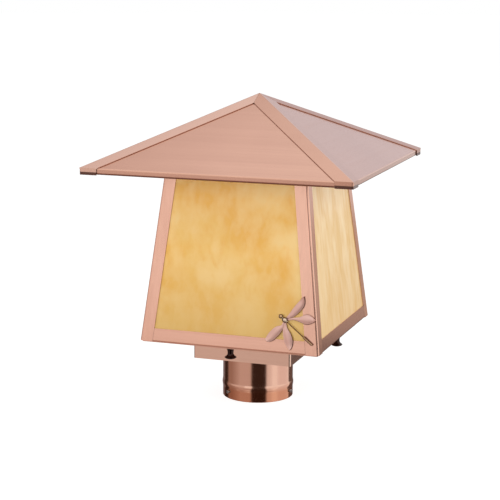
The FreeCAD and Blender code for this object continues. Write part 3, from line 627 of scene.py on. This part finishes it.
class Bench:
    """Modelling moves on the active mesh, whose points are picked by their place."""

    merge_distance = 0.002 * MM

    @staticmethod
    def choose(piece: Object) -> None:
        """Makes one piece the active one, with nothing else selected."""
        bpy.ops.object.select_all(action="DESELECT")
        piece.select_set(True)
        bpy.context.view_layer.objects.active = piece

    @classmethod
    def open(cls, piece: Object) -> None:
        """Opens one piece in edit mode, with nothing else selected and every point picked."""
        cls.choose(piece)
        bpy.ops.object.mode_set(mode="EDIT")
        bpy.ops.mesh.select_mode(type="VERT")
        bpy.ops.mesh.select_all(action="SELECT")

    @staticmethod
    def close() -> None:
        """Goes back to object mode."""
        bpy.ops.object.mode_set(mode="OBJECT")

    @staticmethod
    def pick(test: Callable[[Vector], bool]) -> None:
        """Picks the points of the open piece whose place passes a test."""
        mesh = bpy.context.object.data
        shape = bmesh.from_edit_mesh(mesh)
        for point in shape.verts:
            point.select = test(point.co)
        shape.select_flush_mode()
        bmesh.update_edit_mesh(mesh)

    @classmethod
    def tidy(cls, piece: Object, smooth_deg: float = SMOOTH_DEG, turn_out: bool = True) -> None:
        """Merges doubles, turns the faces outwards if asked, and shades smooth up to an angle."""
        cls.open(piece)
        bpy.ops.mesh.remove_doubles(threshold=cls.merge_distance)
        if turn_out:
            bpy.ops.mesh.normals_make_consistent(inside=False)
        cls.close()
        bpy.ops.object.shade_smooth_by_angle(angle=math.radians(smooth_deg))

    @classmethod
    def lathe(cls, name: str, profile: Profile, segments: int, smooth_deg: float = SMOOTH_DEG,
              place: Pair = (0.0, 0.0)) -> Object:
        """Turns a profile about an upright axis, ring by ring.

        Args:
            name: The piece's name.
            profile: Radius and height of each ring, in millimetres.
            segments: Facets round the axis.
            smooth_deg: Edges flatter than this are shaded smooth.
            place: Where the axis stands, in millimetres.

        Returns:
            The piece.
        """
        across, away = place[0] * MM, place[1] * MM
        radius, height = profile[0]
        bpy.ops.mesh.primitive_circle_add(vertices=segments, radius=radius * MM, fill_type="NOTHING",
                                          location=(across, away, height * MM))
        piece = bpy.context.object
        piece.name = name
        bpy.ops.object.transform_apply(location=True, rotation=True, scale=True)
        cls.open(piece)
        for (before, low), (after, high) in zip(profile, profile[1:]):
            lift = (0.0, 0.0, (high - low) * MM)
            bpy.ops.mesh.extrude_region_move(TRANSFORM_OT_translate={"value": lift})
            bpy.ops.transform.resize(value=(after / before, after / before, 1.0),
                                     center_override=(across, away, high * MM))
        cls.close()
        cls.tidy(piece, smooth_deg)
        return piece

    @classmethod
    def put(cls, piece: Object, where: Matrix) -> None:
        """Moves a piece by a matrix and applies it to the mesh."""
        cls.choose(piece)
        piece.matrix_world = where
        bpy.ops.object.transform_apply(location=True, rotation=True, scale=True)

    @staticmethod
    def copy(piece: Object, name: str) -> Object:
        """Copies a piece, with a mesh of its own."""
        twin = bpy.data.objects.new(name, piece.data.copy())
        bpy.context.scene.collection.objects.link(twin)
        return twin

    @classmethod
    def cut(cls, piece: Object, tool: Object) -> None:
        """Cuts a closed tool out of a piece and removes the tool."""
        cls.choose(piece)
        modifier = piece.modifiers.new("cut", "BOOLEAN")
        modifier.operation = "DIFFERENCE"
        modifier.solver = "EXACT"
        modifier.object = tool
        bpy.ops.object.modifier_apply(modifier=modifier.name)
        bpy.data.objects.remove(tool, do_unlink=True)


@dataclass
class Dresser:
    """Gives solids and new pieces their finish, and round solids a smooth skin."""

    nodes: dict[str, Object]
    materials: dict[str, Material]
    slots: dict[str, str]
    bodies: dict[str, str]

    def wear(self, name: str, finish: str) -> None:
        """Puts one finish on a solid."""
        mesh = self.nodes[name].data
        mesh.materials.clear()
        mesh.materials.append(self.materials[finish])

    def skin(self, name: str, finish: str) -> None:
        """Stands a merged, smooth-shaded copy in for a round solid."""
        piece = Bench.copy(self.nodes[name], name + "_skin")
        Bench.tidy(piece, turn_out=False)
        self.dress(piece, self.bodies[name], finish, replaced=(name,))

    def dress(self, piece: Object, body: str, *finishes: str, replaced: tuple[str, ...] = ()) -> None:
        """Gives a new piece its finishes and its body.

        Args:
            piece: The new piece.
            body: The body that it moves with.
            finishes: One finish for each material number of its faces.
            replaced: The solids that it stands in for.
        """
        worn = piece.data.materials
        for number, finish in enumerate(finishes):
            if number < len(worn):
                worn[number] = self.materials[finish]
            else:
                worn.append(self.materials[finish])
        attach(piece, body)
        if replaced:
            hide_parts(*replaced)
        LOG.info("%s: %d faces, on %s", piece.name, len(piece.data.polygons), body)


@dataclass
class Collar:
    """Spun collar with one rolled bead and three drilled screw holes."""

    bore_radius: float = 39.7
    wall: float = 1.2
    height: float = 52.1
    bead_height: float = 15.6
    bead_half_width: float = 5.0
    bead_rise: float = 0.65
    edge: float = 0.3
    ring_step: float = 0.6
    segments: int = 192
    hole_radius: float = 1.86
    hole_height: float = 8.2
    hole_bearings: Triple = (-37.0, 83.0, 203.0)
    hole_segments: int = 32
    drill_length: float = 9.6

    def _bead(self, height: float) -> float:
        """How far the sheet stands out at a height."""
        share = (height - self.bead_height) / self.bead_half_width
        return self.bead_rise * 0.5 * (1 + math.cos(math.pi * share)) if abs(share) < 1 else 0.0

    def _heights(self) -> list[float]:
        """Ring heights from foot to head: close over the holes and the bead, and none above."""
        top = self.bead_height + self.bead_half_width
        count = round((top - self.edge) / self.ring_step)
        low = [self.edge + (top - self.edge) * step / count for step in range(count + 1)]
        return low + [self.height / 2 + top / 2, self.height - self.edge]

    def profile(self) -> Profile:
        """The wall's closed profile: up the outside, over the head and down the bore."""
        outer = self.bore_radius + self.wall
        heights = self._heights()
        rings = [(self.bore_radius + self.edge, 0.0), (outer - self.edge, 0.0)]
        rings += [(outer + self._bead(height), height) for height in heights]
        rings += [(outer - self.edge, self.height), (self.bore_radius + self.edge, self.height)]
        rings += [(self.bore_radius + self._bead(height), height) for height in reversed(heights)]
        return rings + rings[:1]

    def build(self, dresser: Dresser) -> None:
        """Spins the collar and drills it."""
        piece = Bench.lathe("post_collar_spun", self.profile(), self.segments)
        middle = Vector((0.0, -(self.bore_radius + self.wall / 2) * MM, self.hole_height * MM))
        for bearing in self.hole_bearings:
            bpy.ops.mesh.primitive_cylinder_add(vertices=self.hole_segments, radius=self.hole_radius * MM,
                                                depth=self.drill_length * MM)
            drill = bpy.context.object
            round_axis = turn(bearing, "Z")
            Bench.put(drill, Matrix.Translation(round_axis @ middle) @ round_axis @ turn(90, "X"))
            Bench.cut(piece, drill)
        Bench.tidy(piece)
        dresser.dress(piece, "base", "copper_collar", replaced=("post_collar",))


@dataclass
class ThumbNuts:
    """Bell-shaped turned nuts under the middle of each side, each with a blind bore."""

    seat_height: float = 78.4
    reach_out: float = 95.3
    bore_radius: float = 2.12
    bore_depth: float = 9.9
    shoulder_radius: float = 4.2
    shoulder_depth: float = 1.8
    waist_radius: float = 3.3
    waist_depth: float = 6.2
    rim_radius: float = 6.6
    rim_depth: float = 10.4
    rim_height: float = 1.0
    flare_power: float = 2.2
    dome: float = 1.6
    edge: float = 0.25
    steps: int = 8
    segments: int = 56

    def profile(self) -> Profile:
        """The nut's profile: out of the bore, down the bell and over the dome."""
        neck = self.shoulder_radius - self.edge
        flare = self.rim_radius - self.edge - self.waist_radius
        foot = self.rim_depth + self.rim_height
        shares = [step / self.steps for step in range(1, self.steps + 1)]
        rings = [(POLE, self.bore_depth), (self.bore_radius, self.bore_depth), (self.bore_radius, 0.0),
                 (neck, 0.0), (self.shoulder_radius, self.edge),
                 (self.shoulder_radius, self.shoulder_depth - self.edge), (neck, self.shoulder_depth)]
        rings += [(neck + (self.waist_radius - neck) * math.sin(share * QUARTER_TURN),
                   self.shoulder_depth + (self.waist_depth - self.shoulder_depth) * share)
                  for share in shares]
        rings += [(self.waist_radius + flare * share ** self.flare_power,
                   self.waist_depth + (self.rim_depth - self.waist_depth) * share) for share in shares]
        rings += [(self.rim_radius, self.rim_depth + self.edge), (self.rim_radius, foot - self.edge),
                  (self.rim_radius - self.edge, foot)]
        rings += [(max((self.rim_radius - 2 * self.edge) * math.cos(share * QUARTER_TURN), POLE),
                   foot + self.dome * math.sin(share * QUARTER_TURN)) for share in shares]
        return [(radius, self.seat_height - depth) for radius, depth in rings]

    def build(self, dresser: Dresser) -> None:
        """Turns one nut at the front and copies it to the other sides."""
        first = Bench.lathe("thumb_nut_front_turned", self.profile(), self.segments,
                            place=(0.0, -self.reach_out))
        for quarters, side in enumerate(SIDES):
            name = "thumb_nut_" + side
            nut = first
            if quarters:
                nut = Bench.copy(first, name + "_turned")
                Bench.put(nut, turn(90 * quarters, "Z"))
            dresser.dress(nut, name, "dark_bronze", replaced=(name,))


@dataclass(frozen=True)
class WingForm:
    """One wing's outline in millimetres: along the wing, its lower edge and its upper edge.

    The shadowed edge is -1 where a painted shadow, with solder, darkens the lower edge most, and 1 for the
    upper edge.
    """

    name: str
    heading_deg: float
    stations: tuple[Triple, ...]
    curl: float
    shadowed_edge: int


@dataclass
class Dragonfly:
    """Dragonfly of sheet wings, wire and beads, soldered to the front frame's lower right corner.

    A bead is given by its middle along the wire, its length and its radius.
    """

    along: float = 65.1
    rise: float = 37.0
    foot_out: float = 104.9
    foot_height: float = 79.8
    lean_deg: float = 6.57
    heading_deg: float = -38.0
    wing_out: float = 0.35
    wing_sheet: float = 0.55
    dome: float = 0.05
    lip: float = 0.02
    lip_start: float = 0.8
    curl_start: float = 0.55
    curl_span: float = 0.2
    rows: int = 22
    columns: int = 16
    shadowed_columns: int = 1
    aside: float = 100.0
    wing_smooth_deg: float = 40.0
    head: Triple = (-5.9, 4.6, 2.5)
    thorax: Triple = (0.0, 7.0, 2.9)
    bead_collar: tuple[Pair, ...] = ((0.42, 1.0), (0.46, 0.94))
    oval_share: float = 0.92
    oval_turn: float = 0.40 * math.pi
    oval_steps: int = 14
    bead_segments: int = 32
    wire_out: float = 1.85
    wire_radius: float = 0.55
    wire_head: float = 8.6
    wire_tail: float = 41.0
    wire_tip: tuple[Pair, ...] = ((0.385, 0.055), (0.55, 0.275))
    wire_segments: int = 20
    tail_radius: float = 1.35
    tail_length: float = 13.0
    tail_end: float = 0.1
    tail_taper: float = 0.16
    tail_coils: int = 11
    coil_steps: int = 8
    coil_depth: float = 0.14
    tail_segments: int = 28
    tail_smooth_deg: float = 60.0
    wings: tuple[WingForm, ...] = (
        WingForm("fore_right", 53.0,
                 ((2.5, -1.6, 0.6), (9.4, -5.6, 0.5), (16.9, -7.1, 1.0), (23.5, -7.3, 0.9),
                  (28.0, -6.0, 0.6), (31.5, -3.3, 0.4), (34.0, -0.4, 0.1)), 1.6, -1),
        WingForm("hind_right", 3.0,
                 ((2.5, -0.9, 0.9), (9.3, 0.1, 2.5), (16.5, -1.9, 3.3), (21.9, -4.1, 5.6),
                  (26.9, -4.5, 6.0), (31.5, -2.7, 3.6), (34.2, -0.9, 1.3), (35.1, -0.2, 0.3)), 1.8, -1),
        WingForm("fore_left", -129.0,
                 ((2.5, -0.4, 1.8), (7.5, 0.9, 4.6), (11.0, -1.7, 5.4), (15.7, -3.4, 6.1),
                  (22.0, -3.8, 5.9), (27.0, -3.4, 4.9), (30.6, -2.5, 2.8), (32.0, -1.3, 0.6)), 1.2, 1),
        WingForm("hind_left", -78.0,
                 ((2.5, -0.9, 0.9), (9.5, -3.9, 1.4), (15.0, -4.7, 3.9), (21.0, -4.8, 5.3),
                  (25.5, -3.9, 5.0), (30.0, -2.2, 3.3), (32.6, -0.8, 1.3), (33.7, -0.2, 0.2)), 2.0, 1))

    def _frame(self) -> Matrix:
        """Matrix from the ornament's own plane, with X to the right and Z out of the face."""
        foot = Vector((self.along, -self.foot_out, self.foot_height)) * MM
        rise = Vector((0.0, self.rise, 0.0)) * MM
        return Matrix.Translation(foot) @ turn(90 - self.lean_deg, "X") @ Matrix.Translation(rise)

    @staticmethod
    def _smooth(stations: tuple[Triple, ...], share: float) -> tuple[float, ...]:
        """A point on the smooth curve through the stations, at a share of their count.

        Args:
            stations: Three numbers for each station.
            share: From 0 at the first station to 1 at the last.

        Returns:
            The three numbers there.
        """
        spot = share * (len(stations) - 1)
        number = min(int(spot), len(stations) - 2)
        part = spot - number
        padded = (stations[0], *stations, stations[-1])
        return tuple(
            0.5 * (2 * b + (c - a) * part + (2 * a - 5 * b + 4 * c - d) * part ** 2
                   + (3 * b - a - 3 * c + d) * part ** 3)
            for a, b, c, d in zip(*padded[number:number + 4]))

    def _relief(self, across: float) -> float:
        """Height of a wing over its plane, at -1 to 1 across it, as a share of its width."""
        lip = max(0.0, abs(across) - self.lip_start) / (1 - self.lip_start)
        return self.dome * (1 - across ** 2) + self.lip * lip

    def _wing(self, form: WingForm) -> Object:
        """Beats one wing out of a flat grid: domed, with a raised edge and a curled tip.

        Each row that is done stands aside, so that no later pick finds it, until all are moved back.
        """
        bpy.ops.mesh.primitive_grid_add(x_subdivisions=self.rows, y_subdivisions=self.columns, size=2.0)
        piece = bpy.context.object
        piece.name = "dragonfly_wing_" + form.name
        Bench.open(piece)
        for column in range(self.columns + 1):
            across = -1 + 2 * column / self.columns
            Bench.pick(lambda point: abs(point.y - across) < 1 / self.columns)
            bpy.ops.transform.translate(value=(0.0, 0.0, 2 * self._relief(across)))
        for row in range(self.rows + 1):
            share = row / self.rows
            start = -1 + 2 * share
            along, low, high = self._smooth(form.stations, share)
            half = (high - low) / 2
            lift = self.wing_out + form.curl * max(0.0, share - self.curl_start) ** 2 / self.curl_span
            Bench.pick(lambda point: abs(point.x - start) < 0.5 / self.rows)
            bpy.ops.transform.resize(value=(1.0, half, half), center_override=(start, 0.0, 0.0))
            bpy.ops.transform.translate(value=(along - start + self.aside, low + half, lift))
        bpy.ops.mesh.select_all(action="SELECT")
        bpy.ops.transform.translate(value=(-self.aside, 0.0, 0.0))
        Bench.close()
        # The outer columns on the shadowed side take the dark edge finish: a painted shadow, with solder.
        for face in piece.data.polygons:
            column = face.index // self.rows
            if form.shadowed_edge < 0:
                column = self.columns - 1 - column
            face.material_index = int(column >= self.columns - self.shadowed_columns)
        thickness = piece.modifiers.new("sheet", "SOLIDIFY")
        thickness.thickness = self.wing_sheet
        thickness.offset = 1.0
        thickness.material_offset_rim = 1
        bpy.ops.object.modifier_apply(modifier=thickness.name)
        Bench.put(piece, self._frame() @ turn(form.heading_deg, "Z") @ Matrix.Scale(MM, 4))
        Bench.tidy(piece, self.wing_smooth_deg)
        return piece

    def _bead(self, name: str, form: Triple) -> Object:
        """An oval bead threaded on the wire, with a fine collar, in shares of its size, at each end."""
        middle, length, radius = form
        half = length / 2
        rings = [(POLE, -half)]
        rings += [(across * radius, -height * half) for across, height in self.bead_collar]
        ends = [(across, -height) for across, height in reversed(rings)]
        for step in range(1, self.oval_steps):
            angle = self.oval_turn * (2 * step / self.oval_steps - 1)
            height = self.oval_share * half * math.sin(angle) / math.sin(self.oval_turn)
            rings.append((radius * math.cos(angle), height))
        return self._lay(Bench.lathe(name, rings + ends, self.bead_segments), middle)

    def _tail(self) -> Object:
        """The wound tail: a run of fine coils that narrows towards its end."""
        half = self.tail_length / 2
        rings = [(POLE, -half), (self.wire_radius, -half)]
        steps = self.coil_steps * self.tail_coils
        for step in range(steps + 1):
            share = step / steps
            wave = abs(math.sin(share * self.tail_coils * math.pi))
            radius = self.tail_radius * (1 - self.tail_taper * share) * (1 - self.coil_depth * (1 - wave))
            rings.append((radius, (half - self.tail_end) * (2 * share - 1)))
        rings += [(self.wire_radius, half), (POLE, half)]
        piece = Bench.lathe("dragonfly_tail", rings, self.tail_segments, self.tail_smooth_deg)
        return self._lay(piece, self.wire_tail - half)

    def _wire(self) -> Object:
        """The body's wire, whose tips are rounded through radii at distances from each end."""
        head, tail = -self.wire_head, self.wire_tail
        rings = [(POLE, head), *((radius, head + inset) for radius, inset in self.wire_tip),
                 (self.wire_radius, (head + tail) / 2),
                 *((radius, tail - inset) for radius, inset in reversed(self.wire_tip)), (POLE, tail)]
        return self._lay(Bench.lathe("dragonfly_body_wire", rings, self.wire_segments), 0.0)

    def _lay(self, piece: Object, middle: float) -> Object:
        """Lays an upright turned piece along the body's wire, with its middle at a distance along it."""
        place = Matrix.Translation(Vector((middle, 0.0, self.wire_out)) * MM)
        Bench.put(piece, self._frame() @ turn(self.heading_deg, "Z") @ place @ turn(90, "Y"))
        return piece

    def build(self, dresser: Dresser) -> None:
        """Makes the wings, the wire, the beads and the tail."""
        for number, form in enumerate(self.wings):
            replaced = ("dragonfly_wings",) if number == 0 else ()
            dresser.dress(self._wing(form), "lantern", "copper_wing", "wing_edge_shadow", replaced=replaced)
        dresser.dress(self._wire(), "lantern", "body_wire", replaced=("dragonfly_wire",))
        thorax = self._bead("dragonfly_thorax", self.thorax)
        dresser.dress(thorax, "lantern", "thorax_brass_highlight", replaced=("dragonfly_beads",))
        dresser.dress(self._bead("dragonfly_head", self.head), "lantern", "bead_brass")
        dresser.dress(self._tail(), "lantern", "tail_brass")


@dataclass
class LampCap:
    """The lamp's screw cap, with its rolled thread."""

    radius: float = 13.1
    foot: float = 111.1
    height: float = 21.0
    root_radius: float = 12.3
    neck_radius: float = 11.0
    pitch: float = 3.6
    threads: int = 4
    foot_inset: float = 1.4
    foot_rise: float = 0.7
    thread_rise: float = 2.0
    skirt: float = 3.0
    edge: float = 0.3
    steps: int = 10
    segments: int = 64
    smooth_deg: float = 50.0

    def profile(self) -> Profile:
        """Closed profile: the foot, the rolled threads, the plain skirt and the flared head."""
        start = self.foot + self.thread_rise
        rings = [(POLE, self.foot), (self.neck_radius - self.foot_inset, self.foot),
                 (self.neck_radius, self.foot + self.foot_rise)]
        for step in range(self.steps * self.threads + 1):
            wave = 0.5 - 0.5 * math.cos(FULL_TURN * step / self.steps)
            rings.append((self.root_radius + (self.radius - self.root_radius) * wave,
                          start + self.pitch * step / self.steps))
        top = self.foot + self.height
        rings += [(self.radius, top - self.skirt), (self.radius, top - self.edge),
                  (self.radius - self.edge, top), (POLE, top)]
        return rings

    def build(self, dresser: Dresser) -> None:
        """Rolls the cap."""
        piece = Bench.lathe("lamp_cap_rolled", self.profile(), self.segments, self.smooth_deg)
        dresser.dress(piece, "lamp", "lamp_metal", replaced=("lamp_cap",))


class SheetWork:
    """The folded copper and the glass, which keep the solids' own forms."""

    @staticmethod
    def dress(dresser: Dresser) -> None:
        """Puts each sheet's finish on its solid, brushed along its length."""
        worn = {"base_box": "copper_box", "base_plate": "copper_along_x", "glass_clips": "copper_along_x"}
        for side, along, glass in zip(SIDES, "xyxy", ("honey_glass", "cream_glass") * 2):
            worn["roof_panel_" + side] = "copper_roof_" + along
            worn["bottom_rail_" + side] = "copper_along_" + along
            worn["top_rail_" + side] = "copper_along_" + along
            worn["glass_" + side] = glass
        # The near cap and the back caps wear darker copies of the caps' copper: painted shade and
        # reflection.
        for corner, cap in zip(CORNERS, ("near_cap", "back_cap", "back_cap", "cap")):
            worn["corner_post_" + corner] = "copper_upright"
            worn["stile_" + corner] = "copper_upright"
            worn["hip_cap_" + corner] = "copper_" + cap
        for name, finish in worn.items():
            dresser.wear(name, finish)
        LOG.info("sheet work: %d solids", len(worn))


class Fittings:
    """The lampholder, lamp, fastenings and wiring parts, as smooth skins over their solids."""

    @staticmethod
    def dress(dresser: Dresser) -> None:
        """Puts each part's finish on a smooth copy of its solid."""
        worn = (("copper_along_x", "plate_rivets"), ("green_screw", "ground_screw"),
                ("zinc_steel", "lamp_nipple", "nipple_locknuts"), ("socket_brass", "holder_cap"),
                ("porcelain", "holder_body"),
                ("socket_brass", "terminal_screws", "screw_shell", "center_contact"),
                ("frosted_glass", "lamp_glass"), ("black_glass", "lamp_insulator"),
                ("lamp_metal", "lamp_tip"),
                ("zinc_steel", "base_studs", "set_screw_left", "set_screw_right", "set_screw_back"))
        for finish, *names in worn:
            for name in names:
                dresser.skin(name, finish)


def main() -> None:
    """Loads the frame, builds and dresses the light and sets the studio up."""
    logging.basicConfig(level=logging.INFO, format="%(name)s: %(message)s")
    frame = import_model()
    Studio().build()
    groups = GroupKit()
    finishes = Palette().finishes()
    materials = {finish.name: finish.build(groups) for finish in finishes}
    slots = {finish.name: finish.slot or finish.name for finish in finishes}
    carried = frame["record"]["behaviour"]["bodies"]
    bodies = {node: body for body, nodes in carried.items() for node in nodes}
    dresser = Dresser(frame["nodes"], materials, slots, bodies)
    SheetWork.dress(dresser)
    Fittings.dress(dresser)
    Collar().build(dresser)
    ThumbNuts().build(dresser)
    LampCap().build(dresser)
    Dragonfly().build(dresser)


if __name__ == "__main__":
    main()
